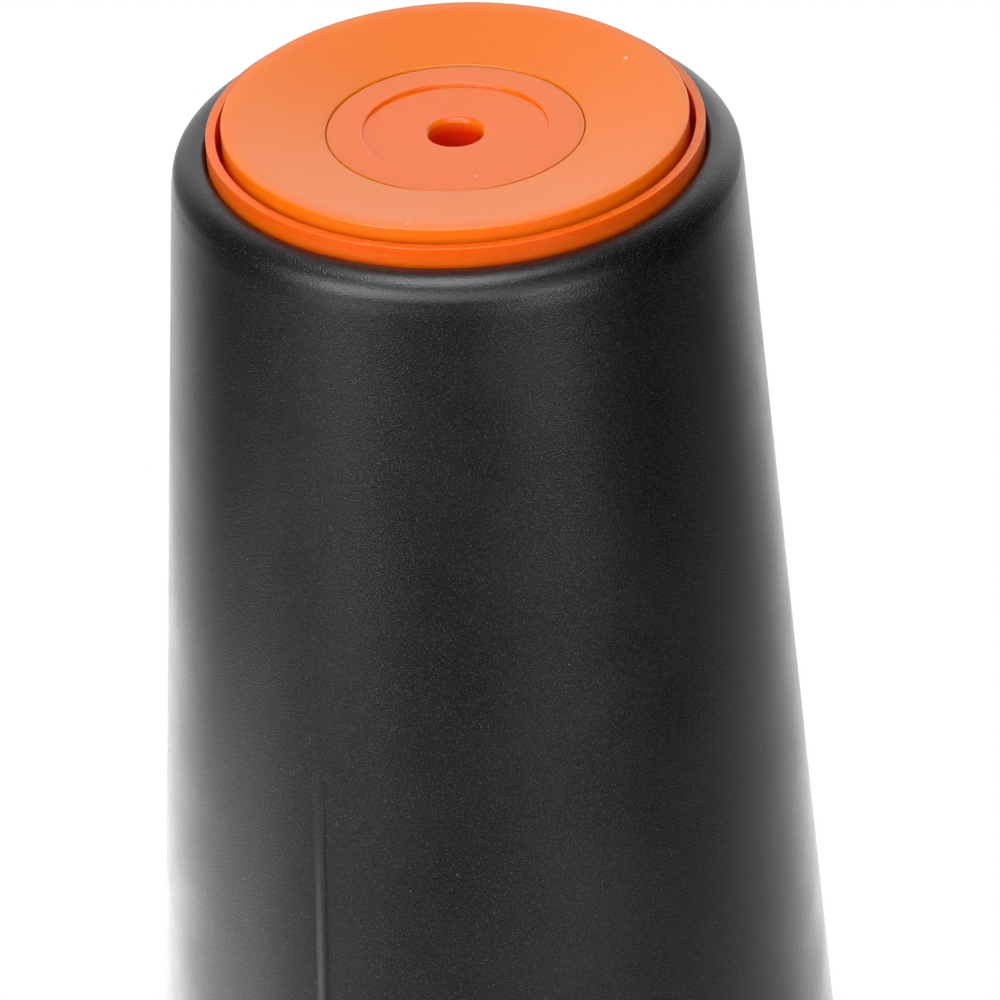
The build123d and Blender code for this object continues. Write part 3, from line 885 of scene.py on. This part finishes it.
def make_world():
    """White for the camera; for light and reflections, black with the patches of SWEEPS."""
    world = bpy.data.worlds.new("studio")
    bpy.context.scene.world = world
    world.use_nodes = True
    tree = world.node_tree
    tree.nodes.clear()
    add = tree.nodes.new
    place = add("ShaderNodeTexCoord").outputs["Generated"]

    def patch(direction, inner, outer, strength):
        """Round patch: strength within inner degrees of direction, 0 beyond outer."""
        aim = add("ShaderNodeVectorMath")
        aim.operation = "DOT_PRODUCT"
        aim.inputs[1].default_value = direction
        tree.links.new(place, aim.inputs[0])
        soft = add("ShaderNodeMapRange")
        soft.interpolation_type = "SMOOTHSTEP"
        soft.inputs["From Min"].default_value = math.cos(math.radians(outer))
        soft.inputs["From Max"].default_value = math.cos(math.radians(inner))
        soft.inputs["To Min"].default_value = 0.0
        soft.inputs["To Max"].default_value = strength
        tree.links.new(aim.outputs["Value"], soft.inputs["Value"])
        return soft.outputs["Result"]

    total, *others = [patch(*sweep) for sweep in SWEEPS]
    for other in others:
        addition = add("ShaderNodeMath")
        addition.operation = "ADD"
        tree.links.new(total, addition.inputs[0])
        tree.links.new(other, addition.inputs[1])
        total = addition.outputs["Value"]
    studio = add("ShaderNodeBackground")
    tree.links.new(total, studio.inputs["Strength"])
    white = add("ShaderNodeBackground")
    white.inputs["Color"].default_value = colour(1, 1, 1)
    seen = add("ShaderNodeLightPath").outputs["Is Camera Ray"]
    choice = add("ShaderNodeMixShader")
    tree.links.new(seen, choice.inputs[0])
    tree.links.new(studio.outputs[0], choice.inputs[1])
    tree.links.new(white.outputs[0], choice.inputs[2])
    output = add("ShaderNodeOutputWorld")
    tree.links.new(choice.outputs[0], output.inputs["Surface"])


def make_lights():
    """Rectangular softboxes and cards, unseen by the camera."""
    for target, rows in ((BOX_TARGET, SOFTBOXES), (CARD_TARGET, CARDS), (TABLE_TARGET, TABLES)):
        for name, azimuth, elevation, distance, width, height, radiance in rows:
            data = bpy.data.lights.new(name, "AREA")
            data.shape = "RECTANGLE"
            data.size = width
            data.size_y = height
            data.energy = radiance * math.pi * width * height
            light = bpy.data.objects.new(name, data)
            direction = towards(azimuth, elevation)
            light.location = target + direction * distance
            light.rotation_euler = direction.to_track_quat("Z", "Y").to_euler()
            light.visible_camera = False
            bpy.context.scene.collection.objects.link(light)


FLOOR_HALF_WIDTH = 4.0
FLOOR_DROP = 0.02 * MM


def make_floor():
    """Pale floor under the foot. It is one-sided, so that the camera below it sees the foot."""
    nodes = Nodes("floor_paint")
    shader = nodes.shader(Roughness=0.75)
    cloud = nodes.noise(6, 3, 0.5)
    base = nodes.mix(cloud, colour(0.76, 0.76, 0.75), colour(0.8, 0.8, 0.79))
    nodes.link(base, shader.inputs["Base Color"])
    clear = nodes.tree.nodes.new("ShaderNodeBsdfTransparent")
    choice = nodes.tree.nodes.new("ShaderNodeMixShader")
    side = nodes.tree.nodes.new("ShaderNodeNewGeometry").outputs["Backfacing"]
    nodes.link(side, choice.inputs[0])
    nodes.link(shader.outputs["BSDF"], choice.inputs[1])
    nodes.link(clear.outputs["BSDF"], choice.inputs[2])
    nodes.link(choice.outputs["Shader"], nodes.output.inputs["Surface"])
    half = FLOOR_HALF_WIDTH
    corners = [(-half, -half, 0), (half, -half, 0), (half, half, 0), (-half, half, 0)]
    mesh = bpy.data.meshes.new("floor")
    mesh.from_pydata(corners, [], [(0, 1, 2, 3)])
    mesh.materials.append(nodes.material)
    floor = bpy.data.objects.new("floor", mesh)
    floor.location.z = -FLOOR_DROP
    bpy.context.scene.collection.objects.link(floor)
    floor.visible_diffuse = False
    floor.visible_glossy = False
    floor.visible_transmission = False
    floor.visible_shadow = False


make_world()
make_lights()
make_floor()
bpy.context.scene.view_settings.view_transform = "Standard"
